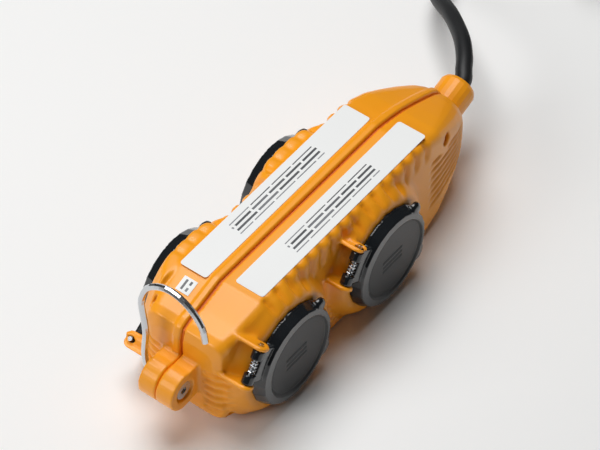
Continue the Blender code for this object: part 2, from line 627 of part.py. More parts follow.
# ---- hook and its washer -------------------------------------------------------------------
def make_hook():
    route = [(LUG_X + HOOK_LEAN * z * MM, y * MM, MIDDLE_Z + z * MM) for y, z in HOOK_ROUTE]
    straight, bent = route[:1], route[1:]
    hook = tube("hook", straight + smooth_path(bent, 2), HOOK_RADIUS, STEEL)
    shift = Matrix.Translation((LUG_X, 0, MIDDLE_Z))
    hook.data.transform(shift.inverted())
    hook.matrix_world = shift
    turned("hook_washer", ((HOOK_RADIUS + GAP, WASHER_THICKNESS), (WASHER_RADIUS, WASHER_THICKNESS),
                           (WASHER_RADIUS, 0), (HOOK_RADIUS + GAP, 0)),
           LUG_PLACE @ Matrix.Translation((0, 0, LUG_HALF_WIDTH - LUG_RECESS + GAP)), STEEL, steps=24)


make_hook()


# ---- cord sleeve, inner cord, clamp and wires -----------------------------------------------
turned("cord_sleeve",
       ((CORD_RADIUS + GAP, SLEEVE_LENGTH), (SLEEVE_RADIUS - 1 * MM, SLEEVE_LENGTH),
        (SLEEVE_RADIUS, SLEEVE_LENGTH - 2 * MM), (SLEEVE_RADIUS, 0), (SLEEVE_FLANGE_RADIUS, 0),
        (SLEEVE_FLANGE_RADIUS, -SLEEVE_FLANGE), (CORD_RADIUS + GAP, -SLEEVE_FLANGE)),
       SLEEVE_PLACE, ORANGE, steps=24)
put("cord_inside", rod_mesh("cord_inside", CORD_RADIUS, -CORD_INNER_LENGTH, SLEEVE_LENGTH, steps=14),
    SLEEVE_PLACE, RUBBER)

clamp_place = SLEEVE_PLACE @ Matrix.Translation((0, 0, -12 * MM))
clamp_length, clamp_width, clamp_height = CLAMP_SIZE
clamp_low = CORD_RADIUS + GAP - 2 * MM
clamp = put("cord_clamp", box_mesh("cord_clamp", (-clamp_low - clamp_height, -clamp_width / 2,
                                                  -clamp_length / 2),
                                   (-clamp_low, clamp_width / 2, clamp_length / 2)),
            clamp_place, BLACK, smooth=False)
groove = rod_mesh("clamp_groove", CORD_RADIUS + GAP, -clamp_length, clamp_length, steps=14)
cut(clamp, put("clamp_groove", groove, clamp_place, BLACK, tools))
for number, sign in enumerate((-1, 1), 1):
    offset = Matrix.Translation((-clamp_low, sign * CLAMP_SCREW_OFFSET, 0))
    screw_lie = clamp_place @ offset @ Matrix.Rotation(-math.pi / 2, 4, "Y")
    screw_bore = rod_mesh("clamp_bore", CLAMP_SCREW_RADIUS + GAP, -1 * MM, clamp_height + 1 * MM,
                          steps=10)
    cut(clamp, put(f"clamp_bore_{number}", screw_bore, screw_lie, BLACK, tools))
    make_screw(f"clamp_screw_{number}", screw_lie, CLAMP_SCREW_RADIUS, 2.6 * MM, 1.6 * MM,
               clamp_height + GAP + 1.6 * MM, 5 * MM)


def strip_end(side, kind, lift):
    """Just behind a strip's rear end."""
    place = SIDES[side] @ Matrix.Translation((0, 0, SOCKET_Z)) @ OUTWARD
    return place @ Vector((SOCKET_XS[1] + 22 * MM - lift, STRIP_HEIGHTS[kind],
                           BAR_FACE - BAR_THICKNESS - WIRE_RADIUS - GAP))


def make_wires():
    """A wire from the cord to each strip of the right side, fanned out by height."""
    for kind, angle in (("live", math.pi), ("neutral", 0), ("earth", -math.pi / 2)):
        start = SLEEVE_PLACE @ Vector((2.2 * MM * math.cos(angle), 2.2 * MM * math.sin(angle),
                                       -CORD_INNER_LENGTH - GAP))
        end = strip_end("right", kind, 3 * MM)
        out = SLEEVE_PLACE @ Vector((2.6 * MM * math.cos(angle), 2.6 * MM * math.sin(angle),
                                     -CORD_INNER_LENGTH - 15 * MM))
        before = end + Vector((14 * MM, 0, 0))
        tube("supply_wire_" + kind, smooth_path((start, out, before, end), 3), WIRE_RADIUS,
             WIRE_COLOURS[kind], resolution=1)


make_wires()


# ---- stickers on the top face --------------------------------------------------------------
def top_at(x):
    """Height and slope of the top face at a place along the box."""
    stations = hull_stations(0)
    for near, far in zip(stations, stations[1:]):
        if near[0] <= x <= far[0]:
            slope = (near[1] - far[1]) / (far[0] - near[0])
            return HEIGHT - near[1] + slope * (x - near[0]), math.atan(slope)


for label_name, (x, y, length, width) in LABELS.items():
    middle_x = SOCKET_MIDDLE_X + x
    height, slope = top_at(middle_x)
    spot = Matrix.Translation((middle_x, y, height)) @ Matrix.Rotation(-slope, 4, "Y")
    put(label_name, box_mesh(label_name, (-length / 2, -width / 2, LABEL_GAP),
                             (length / 2, width / 2, LABEL_GAP + LABEL_THICKNESS)),
        spot, PAPER, smooth=False)


# ---- cord outside, its hank and the plug ---------------------------------------------------
def hank_mesh(fold, width, straight, height, steps=12):
    """A hank's outer shape: a long ring of square section, round at both ends."""
    grid = bmesh.new()
    section = ((fold, 0), (fold + width, 0), (fold + width, height), (fold, height))
    rings = []
    for end in (1, -1):
        for k in range(steps + 1):
            angle = math.pi * (k / steps - 0.5)
            rings.append([grid.verts.new((end * (straight / 2 + radius * math.cos(angle)),
                                          end * radius * math.sin(angle), z))
                          for radius, z in section])
    for here, ahead in zip(rings, rings[1:] + rings[:1]):
        for i in range(4):
            grid.faces.new((here[i], here[i - 1], ahead[i - 1], ahead[i]))
    bmesh.ops.recalc_face_normals(grid, faces=grid.faces)
    mesh = bpy.data.meshes.new("hank")
    grid.to_mesh(mesh)
    grid.free()
    return mesh


def make_cord():
    mouth = [SLEEVE_PLACE @ Vector((0, 0, SLEEVE_LENGTH + reach * MM)) for reach in (0.8, 4.5)]
    route = mouth + [Vector(point) * MM for point in CORD_ROUTE]
    tube("cord", smooth_path(route, 3), CORD_RADIUS, RUBBER)

    # the hank's outermost run is in line with the route's end, which stops just short of it
    end = Vector(CORD_ROUTE[-1]) * MM
    width = HANK_COLUMNS * 2 * CORD_RADIUS
    height = HANK_LAYERS * 2 * CORD_RADIUS
    lift = end.z - CORD_RADIUS
    fold = HANK_FOLD - CORD_RADIUS
    outer_turn = fold + width - CORD_RADIUS
    ahead = math.sqrt((fold + width + GAP) ** 2 - (outer_turn - CORD_RADIUS) ** 2)
    start = end.x + ahead
    put("cord_hank", hank_mesh(fold, width, HANK_STRAIGHT, height),
        Matrix.Translation((start + HANK_STRAIGHT / 2, end.y - outer_turn, lift)), RUBBER)

    plug_spot = Vector((start + PLUG_FRONT, end.y - (HANK_COLUMNS - 1) * CORD_RADIUS,
                        lift + height + PLUG_RADIUS + GAP))
    plug_place = Matrix.Translation(plug_spot) @ Matrix.Rotation(math.pi / 2, 4, "Y")
    tail = [plug_spot + Vector(step) * MM for step in CORD_TAIL]
    tube("cord_tail", smooth_path(tail, 3), CORD_RADIUS, RUBBER)
    turned("plug", ((0, PLUG_LENGTH), (PLUG_RADIUS, PLUG_LENGTH), (PLUG_RADIUS, 6 * MM),
                    (12 * MM, 0), (7.5 * MM, -PLUG_RELIEF), (0, -PLUG_RELIEF)),
           plug_place, RUBBER, steps=24)
    for number, sign in enumerate((-1, 1), 1):
        put(f"plug_pin_{number}",
            rod_mesh("plug_pin", PLUG_PIN_RADIUS, PLUG_LENGTH + GAP,
                     PLUG_LENGTH + GAP + PLUG_PIN_LENGTH, centre=(0, sign * CONTACT_OFFSET),
                     steps=10), plug_place, BRASS)


make_cord()
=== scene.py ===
"""The looks of the portable socket block: its surfaces, cord, stickers and light."""
import math

import bmesh
import bpy
import numpy as np
from mathutils import Matrix, Vector


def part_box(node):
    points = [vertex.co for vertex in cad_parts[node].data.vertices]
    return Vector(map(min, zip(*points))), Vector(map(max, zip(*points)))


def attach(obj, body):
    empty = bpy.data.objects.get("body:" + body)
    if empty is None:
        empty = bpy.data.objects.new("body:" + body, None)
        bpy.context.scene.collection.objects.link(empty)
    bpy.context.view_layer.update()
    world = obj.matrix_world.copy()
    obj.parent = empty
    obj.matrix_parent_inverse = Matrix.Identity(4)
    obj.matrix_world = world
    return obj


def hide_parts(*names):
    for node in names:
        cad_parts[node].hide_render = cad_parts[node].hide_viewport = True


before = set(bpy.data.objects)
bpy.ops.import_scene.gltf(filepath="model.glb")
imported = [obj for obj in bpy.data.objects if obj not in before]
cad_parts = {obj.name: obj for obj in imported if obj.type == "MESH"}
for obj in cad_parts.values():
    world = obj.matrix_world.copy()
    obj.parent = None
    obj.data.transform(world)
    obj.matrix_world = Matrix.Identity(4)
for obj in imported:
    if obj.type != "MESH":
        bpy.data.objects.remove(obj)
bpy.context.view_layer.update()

scene = bpy.context.scene
scene.view_settings.view_transform = "Standard"
MM = 0.001

# ---- Camera: a long lens from the front right, well above the box ---------------------------
camera_data = bpy.data.cameras.new("camera")
camera_data.sensor_width = 36
camera_data.lens = 204.5
camera_data.clip_end = 20
camera = bpy.data.objects.new("camera", camera_data)
scene.collection.objects.link(camera)
CAMERA_AZIMUTH = math.radians(-52.51)
CAMERA_ELEVATION = math.radians(48.68)
camera.location = (-0.9019, -0.6818, 1.3304)
camera.rotation_euler = (math.pi / 2 - CAMERA_ELEVATION, 0, CAMERA_AZIMUTH)
scene.camera = camera

# ---- Socket inserts, shutters and earth pins -------------------------------------------------
# light grey moulded polyamide with a dry, slightly rough skin; the shutters slide behind the
# insert's floor, and the earth pin is turned brass with a nickel plate


def linear(code):
    """A colour written as sRGB hex, in the linear numbers that shaders take."""
    parts = [int(code[i:i + 2], 16) / 255 for i in (1, 3, 5)]
    return tuple(c / 12.92 if c <= 0.04045 else ((c + 0.055) / 1.055) ** 2.4 for c in parts) + (1,)


def node(tree, kind, settings=None, **inputs):
    """Adds one shader node; settings are its own values, inputs are sockets or plain numbers."""
    made = tree.nodes.new(kind)
    for name, value in (settings or {}).items():
        setattr(made, name, value)
    for name, value in inputs.items():
        socket = made.inputs[int(name[1:])] if name[1:].isdigit() else made.inputs[
            name.replace("_", " ")]
        if isinstance(value, bpy.types.NodeSocket):
            tree.links.new(value, socket)
        else:
            socket.default_value = value
    return made


def finish_of(name, dark, light, roughness, grain, relief, metallic=0.0, coat=0.0):
    """A moulded, drawn or rolled surface: two close shades in broad drifts, and a fine grain,
    its size in millimetres, that stirs the roughness and the relief."""
    made = bpy.data.materials.new(name)
    made.use_nodes = True
    tree, shader = made.node_tree, made.node_tree.nodes["Principled BSDF"]
    place = node(tree, "ShaderNodeTexCoord").outputs["Object"]
    drift = node(tree, "ShaderNodeTexNoise", Vector=place, Scale=25.0, Detail=3.0)
    fine = node(tree, "ShaderNodeTexNoise", Vector=place, Scale=1 / (grain * MM), Detail=2.0)
    shade = node(tree, "ShaderNodeMix", {"data_type": "RGBA"}, Factor=drift.outputs["Fac"],
                 i6=linear(dark), i7=linear(light))
    sheen = node(tree, "ShaderNodeMapRange", Value=fine.outputs["Fac"],
                 To_Min=roughness * 0.85, To_Max=roughness * 1.15)
    bump = node(tree, "ShaderNodeBump", Height=fine.outputs["Fac"], Strength=relief,
                Distance=0.1 * MM)
    tree.links.new(shade.outputs[2], shader.inputs["Base Color"])
    tree.links.new(sheen.outputs["Result"], shader.inputs["Roughness"])
    tree.links.new(bump.outputs["Normal"], shader.inputs["Normal"])
    shader.inputs["Metallic"].default_value = metallic
    shader.inputs["Coat Weight"].default_value = coat
    return made


def paint(material, *names):
    """Gives CAD nodes their real finish, in the material slots they already have."""
    for name in names:
        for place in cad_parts[name].material_slots:
            place.material = material


grey_polyamide = finish_of("polyamide_moulded_grey", "#8E9296", "#9CA0A4", 0.5, 0.5, 0.25)
SOCKETS = [(side, number) for side in ("left", "right") for number in (1, 2)]
SOCKET_NAMES = [f"{side}_{number}" for side, number in SOCKETS]
paint(grey_polyamide, *("socket_insert_" + name for name in SOCKET_NAMES))
shutter_polyamide = finish_of("polyamide_moulded_dark", "#3B3E42", "#45484C", 0.55, 0.5, 0.2)
paint(shutter_polyamide, *("shutter_" + name for name in SOCKET_NAMES))
nickelled_brass = finish_of("brass_nickel_plated", "#C6C2B4", "#D6D2C6", 0.22, 0.6, 0.1, 1.0)
paint(nickelled_brass, *("earth_pin_" + name for name in SOCKET_NAMES))

# ---- Contact strips and inner wires ----------------------------------------------------------
# strips of rolled brass with folded clips; PVC-covered copper wires in brown, blue and green
rolled_brass = finish_of("brass_rolled", "#C9A24A", "#D8B45C", 0.3, 0.8, 0.1, 1.0)
paint(rolled_brass, *(f"{kind}_strip_{side}" for kind in ("live", "neutral", "earth")
                      for side in ("left", "right")))
for kind, dark, light in (("live", "#5A3218", "#66391D"), ("neutral", "#2457A8", "#2C63B8"),
                          ("earth", "#5E9A2A", "#C9C22C")):
    paint(finish_of("pvc_extruded_" + kind, dark, light, 0.4, 0.5, 0.1), "supply_wire_" + kind)

# ---- Housing halves --------------------------------------------------------------------------
# two halves of glass-filled polyamide, moulded in orange with a satin, finely etched skin; each
# carries two raised collars with hinge ears, ribbed shoulders and grooved finger holds
HEIGHT = 71.6
SOCKET_MIDDLE_X = -26
SOCKET_HEIGHT = 32.4
SOCKET_REACH = 39.5
# along the box: distance from the socket middle, fall of the top, half width, corner radius
STATIONS = ((-81.5, 21, 13.5, 9), (-81.0, 14, 19.5, 8), (-79.2, 8.5, 23.2, 7), (-75, 6.3, 24.8, 6),
            (-66, 4.9, 25.5, 5), (-58, 2.4, 26, 4.5), (-50, 0, 26.5, 4), (0, 0, 26.5, 4),
            (78, 0, 26.5, 4), (88, 1.8, 26.3, 5), (98, 4.2, 25.4, 6), (108, 7.8, 23.6, 8),
            (118, 11.8, 21.4, 10), (126, 15.3, 18.6, 11), (131, 18.6, 15.8, 11.5),
            (134, 22, 12.6, 11.5))
MOUND_INNER = 29.8
MOUND_OUTER = 39.5
MOUND_FACE = 32.5
WALL_FACE = 25.6
HOUSING_GRID = 0.85 * MM
RIB_PITCH = 8.7
RIB_DEPTH = 1.9
GROOVE_PITCH = 5.4
GROOVE_DEPTH = 1.5
RIDGE_WIDTH = 5.4
RIDGE_RISE = 1.1


def deselect():
    bpy.ops.object.select_all(action="DESELECT")


def pick(piece):
    deselect()
    piece.select_set(True)
    bpy.context.view_layer.objects.active = piece


def copy_of(name, cad_name):
    """A whole-surface copy of a CAD node's mesh, merged along its loose edges."""
    piece = bpy.data.objects.new(name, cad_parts[cad_name].data.copy())
    scene.collection.objects.link(piece)
    pick(piece)
    bpy.ops.object.mode_set(mode="EDIT")
    bpy.ops.mesh.select_all(action="SELECT")
    bpy.ops.mesh.remove_doubles(threshold=0.01 * MM)
    bpy.ops.object.mode_set(mode="OBJECT")
    return piece


def remeshed(piece, size):
    """Makes the piece one even skin, with the soft edges of a moulding."""
    pick(piece)
    skin = piece.modifiers.new("skin", "REMESH")
    skin.mode = "VOXEL"
    skin.voxel_size = size
    skin.use_smooth_shade = True
    bpy.ops.object.modifier_apply(modifier=skin.name)


def smoothed(piece, weights, rounds):
    """Eases the places that the weights pick, as a mould maker's polish does."""
    group = piece.vertex_groups.new(name="ease")
    for index in np.nonzero(weights > 0.02)[0]:
        group.add([int(index)], float(weights[index]), "REPLACE")
    pick(piece)
    ease = piece.modifiers.new("ease", "SMOOTH")
    ease.factor = 0.5
    ease.iterations = rounds
    ease.vertex_group = "ease"
    bpy.ops.object.modifier_apply(modifier=ease.name)
    piece.vertex_groups.clear()


def ring_solid(profile, place, steps=72):
    """A closed turned solid from (radius, height) pairs round the local Z axis."""
    grid = bmesh.new()
    rings = []
    for k in range(steps):
        turn = 2 * math.pi * k / steps
        rings.append([grid.verts.new(place @ Vector((r * math.cos(turn), r * math.sin(turn), h)))
                      for r, h in profile])
    for k in range(steps):
        here, ahead = rings[k], rings[(k + 1) % steps]
        for i in range(len(profile)):
            j = (i + 1) % len(profile)
            grid.faces.new((here[i], ahead[i], ahead[j], here[j]))
    bmesh.ops.recalc_face_normals(grid, faces=grid.faces)
    return grid


def ramp(low, high, value):
    t = np.clip((value - low) / (high - low), 0, 1)
    return t * t * (3 - 2 * t)


def join_solid(piece, grid):
    mesh = bpy.data.meshes.new("joined")
    grid.to_mesh(mesh)
    grid.free()
    part = bpy.data.objects.new("joined", mesh)
    scene.collection.objects.link(part)
    deselect()
    part.select_set(True)
    piece.select_set(True)
    bpy.context.view_layer.objects.active = piece
    bpy.ops.object.join()


HALF_TURN = Matrix.Translation((0, 0, HEIGHT * MM)) @ Matrix.Rotation(math.pi, 4, "X")
SIDES = {"right": Matrix.Identity(4), "left": HALF_TURN}


def socket_place(side, number):
    """Local +Z points out of the side, from the seam plane through the socket's centre."""
    x = SOCKET_MIDDLE_X + (-SOCKET_REACH if number == 1 else SOCKET_REACH)
    return (SIDES[side] @ Matrix.Translation((x * MM, 0, SOCKET_HEIGHT * MM))
            @ Matrix.Rotation(math.pi / 2, 4, "X"))


def valley(phase, sharpness):
    return (0.5 - 0.5 * np.cos(2 * np.pi * phase)) ** sharpness


orange_polyamide = finish_of("polyamide_moulded_orange", "#FFA010", "#FFA91C", 0.38, 0.45, 0.35,
                             coat=0.12)
station_x, station_fall, station_half, station_corner = (np.array(c) for c in zip(*STATIONS))
for side in ("right", "left"):
    shell = copy_of("housing_" + side, side + "_shell")
    for number in (1, 2):
        place = socket_place(side, number)
        profile = [(MOUND_INNER, WALL_FACE - 1.5), (MOUND_INNER, MOUND_FACE),
                   (31.6, MOUND_FACE), (33.2, MOUND_FACE - 0.7), (35, MOUND_FACE - 2.4),
                   (36.8, MOUND_FACE - 4.6), (38.4, MOUND_FACE - 6.2),
                   (MOUND_OUTER, WALL_FACE), (MOUND_OUTER, WALL_FACE - 1.5)]
        mound = ring_solid([(r * MM, h * MM) for r, h in profile], place)
        for vert in mound.verts:
            vert.co.z = min(max(vert.co.z, 1.6 * MM), (HEIGHT - 1.6) * MM)
        join_solid(shell, mound)
    remeshed(shell, HOUSING_GRID)
    mesh = shell.data
    points = np.empty(len(mesh.vertices) * 3)
    mesh.vertices.foreach_get("co", points)
    points = points.reshape(-1, 3)
    x, y, z = points[:, 0] / MM - SOCKET_MIDDLE_X, np.abs(points[:, 1]) / MM, points[:, 2] / MM
    socket_z = SOCKET_HEIGHT if side == "right" else HEIGHT - SOCKET_HEIGHT
    socket_gap = np.minimum(np.hypot(x - SOCKET_REACH, z - socket_z),
                            np.hypot(x + SOCKET_REACH, z - socket_z))
    # ease the mounds into the wall and the collars' outer edge
    edge = ramp(28.5, 30.5, socket_gap) * (1 - ramp(42, 45, socket_gap)) * ramp(22, 25, y)
    smoothed(shell, edge, 10)
    mesh = shell.data
    mesh.vertices.foreach_get("co", flat := np.empty(len(mesh.vertices) * 3))
    points = flat.reshape(-1, 3)
    mesh.vertices.foreach_get("normal", flat := np.empty(len(mesh.vertices) * 3))
    normals = flat.reshape(-1, 3)
    x, y, z = points[:, 0] / MM - SOCKET_MIDDLE_X, np.abs(points[:, 1]) / MM, points[:, 2] / MM
    socket_gap = np.minimum(np.hypot(x - SOCKET_REACH, z - socket_z),
                            np.hypot(x + SOCKET_REACH, z - socket_z))
    fall = np.interp(x, station_x, station_fall)
    half = np.interp(x, station_x, station_half)
    corner = np.interp(x, station_x, station_corner)
    # depth below the moulded skin, from the rounded outline at each place along the box
    out_y = y - (half - corner)
    out_z = np.abs(z - HEIGHT / 2) - (HEIGHT / 2 - fall - corner)
    depth = corner - np.hypot(np.maximum(out_y, 0), np.maximum(out_z, 0)) - np.minimum(
        np.maximum(out_y, out_z), 0)
    facing = normals[:, 1] * np.sign(points[:, 1])
    outer = 1 - ramp(0.9, 1.7, depth)
    front_end = ramp(0.5, 0.8, -normals[:, 0]) * (x < -79) * (x > -82.5)
    outer = np.maximum(outer, front_end)
    screws = np.minimum(np.hypot(x + 72.8, z - 10.5), np.hypot(x - 104, z - 56.5)) \
        if side == "right" else np.minimum(np.hypot(x + 72.8, z - HEIGHT + 10.5),
                                           np.hypot(x - 104, z - HEIGHT + 56.5))
    plain = ramp(7, 9, screws)
    below_top = HEIGHT - z
    from_side = half - y
    lean = 1.4 * (np.clip(below_top / 12, 0, 1) - 0.4) ** 2
    ribs = valley((x + 50.5 + lean) / RIB_PITCH, 2.2) * ramp(-52, -46, x) * (1 - ramp(84, 92, x))
    ribs *= (1 - ramp(9, 15, below_top)) * (1 - ramp(0.8, 4.6, from_side))
    ribs *= np.clip(1.25 - ramp(30, 40, -(socket_gap - 70)), 0, 1)
    between = (1 - ramp(12, 16, np.abs(x))) * ramp(37, 41, socket_gap) * (1 - ramp(27, 33, z))
    front_hold = (1 - ramp(-64, -58, x)) * ramp(12.5, 15, y) * ramp(12, 16, z) * (
        1 - ramp(43, 47, z)) * ramp(36, 40, socket_gap)
    share = (z - HEIGHT / 2) / (HEIGHT / 2 - fall)
    rear_hold = ramp(86, 92, x) * (1 - ramp(122, 130, x)) * (1 - ramp(0.5, 0.62, np.abs(share)))
    rear_hold *= ramp(40, 44, socket_gap) * ramp(9, 12, y)
    level = valley((z - 8) / GROOVE_PITCH, 2.0) * np.maximum(between, front_hold)
    flowing = valley(share * 34 / GROOVE_PITCH + 0.5, 2.0) * rear_hold
    grooves = np.maximum(level, flowing) * plain
    push = -outer * (RIB_DEPTH * ribs + GROOVE_DEPTH * grooves * ramp(0.2, 0.6, np.maximum(
        facing, -normals[:, 0])))
    if side == "left":
        on_top = np.maximum(ramp(0.5, 0.8, normals[:, 2]), front_end)
        band = (1 - ramp(RIDGE_WIDTH - 0.9, RIDGE_WIDTH, y)) * ramp(0.7, 1.3, y)
        push += outer * band * on_top * RIDGE_RISE * (z > 30)
    points = points + normals * (push * MM)[:, None]
    mesh.vertices.foreach_set("co", points.ravel())
    mesh.update()
    mesh.materials.clear()
    mesh.materials.append(orange_polyamide)
    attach(shell, "root")
    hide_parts(side + "_shell")

# ---- Seam gasket and housing screws ----------------------------------------------------------
# a soft moulded rubber cord of the housing's darker orange sits in the seam; zinc-plated screws
seam_rubber = finish_of("rubber_moulded_orange", "#D8690A", "#E0720E", 0.6, 0.6, 0.2)
paint(seam_rubber, "seam_gasket")
zinc_plate = finish_of("steel_zinc_plated", "#B9BDC2", "#CDD0D4", 0.26, 0.9, 0.12, 1.0)
paint(zinc_plate, *(f"housing_screw_{side}_{n}" for side in ("left", "right") for n in (1, 2)),
      "clamp_screw_1", "clamp_screw_2")
paint(shutter_polyamide, "cord_clamp")

# ---- Lids ------------------------------------------------------------------------------------
# charcoal glass-filled polyamide: a satin sunk face inside a thick polished rim, a crescent
# bevel beside the hinge, three engraved lines, and a thumb lip opposite the hinge
LID_GRID = 0.5 * MM
LID_FACE = 38.9
HINGE_TURN = math.radians(180 - 34)
charcoal = finish_of("polyamide_moulded_charcoal", "#131517", "#1A1C1F", 0.4, 0.5, 0.3)
gloss_black = finish_of("polyamide_polished_black", "#14171A", "#1B1F23", 0.16, 0.8, 0.05, coat=0.4)
for side, number in SOCKETS:
    name = f"lid_{side}_{number}"
    place = socket_place(side, number)
    lid = copy_of("cover_" + name, name)
    lip_turn = HINGE_TURN - math.pi
    for turn, radius, reach in ((lip_turn, 6.0, 26.0), (lip_turn + 1.35, 4.0, 27.6)):
        spot = place @ Matrix.Translation((reach * math.cos(turn) * MM, reach * math.sin(turn) * MM, 0))
        lip = ring_solid([(0.3 * MM, 35.3 * MM), (radius * MM, 35.3 * MM), (radius * MM, 37.2 * MM),
                          ((radius - 1.2) * MM, 38.4 * MM), (0.3 * MM, 38.6 * MM)], spot, 32)
        join_solid(lid, lip)
    remeshed(lid, LID_GRID)
    mesh = lid.data
    mesh.vertices.foreach_get("co", flat := np.empty(len(mesh.vertices) * 3))
    points = flat.reshape(-1, 3)
    back = np.array(place.inverted())
    local = (points @ back[:3, :3].T + back[:3, 3]) / MM
    px, py, pz = local[:, 0], local[:, 1], local[:, 2]
    shift = 2.4
    inner = np.hypot(px - shift * math.cos(lip_turn), py - shift * math.sin(lip_turn))
    on_face = ramp(37.2, 37.9, pz)
    sink = on_face * (1 - ramp(21.6, 23.4, inner)) * 0.9
    dish = on_face * ramp(21.0, 21.8, inner) * (1 - ramp(21.9, 22.5, inner)) * 0.25
    lines = on_face * (np.abs(px) < 8.2) * np.maximum.reduce(
        [1 - ramp(0.45, 0.9, np.abs(py - level)) for level in (-3.2, 0, 3.2)]) * 0.5
    local[:, 2] -= sink + dish + lines
    forward = np.array(place)
    points = (local * MM) @ forward[:3, :3].T + forward[:3, 3]
    mesh.vertices.foreach_set("co", points.ravel())
    mesh.update()
    mesh.materials.clear()
    mesh.materials.append(gloss_black)
    mesh.materials.append(charcoal)
    satin = (on_face > 0.5) & (inner < 23.0)
    corners = np.empty(len(mesh.loops), dtype=np.int64)
    mesh.loops.foreach_get("vertex_index", corners)
    starts = np.empty(len(mesh.polygons), dtype=np.int64)
    mesh.polygons.foreach_get("loop_start", starts)
    mesh.polygons.foreach_set("material_index", satin[corners[starts]].astype(np.int64))
    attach(lid, name)
    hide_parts(name)
black_rubber = finish_of("rubber_moulded_black", "#17181A", "#1F2123", 0.6, 0.7, 0.25)
paint(black_rubber, *("lid_seal_" + name for name in SOCKET_NAMES))
paint(zinc_plate, *("hinge_pin_" + name for name in SOCKET_NAMES),
      *("lid_spring_" + name for name in SOCKET_NAMES))

# ---- Hanging hook ----------------------------------------------------------------------------
# 3.4 mm steel wire, bent cold and zinc plated bright, held in the front lug by two washers
bright_zinc = finish_of("steel_wire_zinc_plated", "#C4C7CB", "#D8DADD", 0.2, 1.2, 0.15, 1.0)
paint(bright_zinc, "hook")
paint(zinc_plate, "hook_washer")

# ---- Stickers --------------------------------------------------------------------------------
# white printed vinyl with rounded corners, pressed on the flat top; the print is plain rows
STICKER_THICKNESS = 0.2 * MM
STICKER_CORNER = 1.6 * MM


def sticker_finish(name, centre, rows):
    """Satin vinyl: rows of small printed blocks stand for the small print."""
    made = bpy.data.materials.new(name)
    made.use_nodes = True
    tree, shader = made.node_tree, made.node_tree.nodes["Principled BSDF"]
    place = node(tree, "ShaderNodeTexCoord").outputs["Object"]
    local = node(tree, "ShaderNodeMapping", {"vector_type": "TEXTURE"}, Vector=place, Location=centre)
    print_rows = node(tree, "ShaderNodeTexBrick", {"offset": 0.37, "squash": 0.8, "squash_frequency": 3},
                      Vector=local.outputs["Vector"], Scale=1.0, Mortar_Size=0.0008,
                      Mortar_Smooth=0.1, Brick_Width=0.0170, Row_Height=0.0028,
                      Color1=linear("#3A3C40"), Color2=linear("#8A8C90"), Mortar=linear("#F2F3F2"))
    parts = node(tree, "ShaderNodeSeparateXYZ", Vector=local.outputs["Vector"])
    along = node(tree, "ShaderNodeMath", {"operation": "ABSOLUTE"}, i0=parts.outputs["X"])
    across = node(tree, "ShaderNodeMath", {"operation": "ABSOLUTE"}, i0=parts.outputs["Y"])
    in_x = node(tree, "ShaderNodeMath", {"operation": "LESS_THAN"}, i0=along.outputs[0], i1=rows[0])
    in_y = node(tree, "ShaderNodeMath", {"operation": "LESS_THAN"}, i0=across.outputs[0], i1=rows[1])
    both = node(tree, "ShaderNodeMath", {"operation": "MULTIPLY"}, i0=in_x.outputs[0],
                i1=in_y.outputs[0])
    shade = node(tree, "ShaderNodeMix", {"data_type": "RGBA"}, Factor=both.outputs[0],
                 i6=linear("#F2F3F2"), i7=print_rows.outputs["Color"])
    tree.links.new(shade.outputs[2], shader.inputs["Base Color"])
    shader.inputs["Roughness"].default_value = 0.38
    return made


for name, rows in (("label_left", (0.034, 0.0042)), ("label_right", (0.034, 0.0042)),
                   ("label_small", (0.0028, 0.0026))):
    low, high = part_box(name)
    middle = (low + high) / 2
    if name == "label_small":
        vinyl = sticker_finish("vinyl_printed_small", middle, rows)
        paint(vinyl, name)
        continue
    deselect()
    bpy.ops.mesh.primitive_cube_add(size=1)
    sticker = bpy.context.object
    sticker.name = "sticker_" + name.split("_")[1]
    sticker.data.transform(Matrix.Translation(middle) @ Matrix.Diagonal(
        (high.x - low.x, high.y - low.y, high.z - low.z, 1)))
    grid = bmesh.new()
    grid.from_mesh(sticker.data)
    upright = [e for e in grid.edges if abs(e.verts[0].co.z - e.verts[1].co.z) > 0.1 * MM]
    bmesh.ops.bevel(grid, geom=upright, offset=STICKER_CORNER, segments=6, affect="EDGES",
                    profile=0.5)
    grid.to_mesh(sticker.data)
    grid.free()
    sticker.data.materials.append(sticker_finish("vinyl_printed_" + name[6:], middle, rows))
    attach(sticker, "root")
    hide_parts(name)

# ---- Cord sleeve -----------------------------------------------------------------------------
# a short sleeve of the housing's orange, softer, with a domed rim where the cord comes out
paint(orange_polyamide, "cord_sleeve")

# ---- Mains cord ------------------------------------------------------------------------------
# black rubber-sheathed cable, 9.2 mm across and 10 m long: straight out of the sleeve, down to
# the floor, and folded into a neat tied hank, with its moulded plug lying on top
CORD_RADIUS = 4.6 * MM
CORD_LENGTH = 10.0
SLEEVE_ROOT = Vector((103.5, 0, 35.8)) * MM
SLEEVE_LENGTH = 22.5
SLEEVE_PITCH = math.radians(10)
SLEEVE_YAW = math.radians(4)
CORD_ROUTE = ((135.4, 5.6, 41.9), (142, 9.9, 42.5), (151.9, 18.2, 41.4), (160.9, 27.5, 38.3),
              (170.4, 39.1, 34.5), (179.6, 51.7, 28.5), (187.2, 60, 23.5), (196.4, 66.4, 18),
              (207.5, 70.6, 12.9), (220, 72.3, 9), (233, 72.5, 6.9), (247, 72.5, 6.2),
              (268, 72.5, 6.2), (289.5, 72.5, 6.2))
CORD_TAIL = ((-82, 0, -12.8), (-71, 0, -10), (-60, 0, -6.4), (-49, 0, -2.9), (-40, 0, -0.8),
             (-30.8, 0, 0))
HANK_FOLD = 27.8 * MM
HANK_COLUMNS = 4
HANK_LAYERS = 6
HANK_START_X = 322 * MM
TURN_STEPS = 48
TURNS = 22
STEP_LENGTH = 0.12
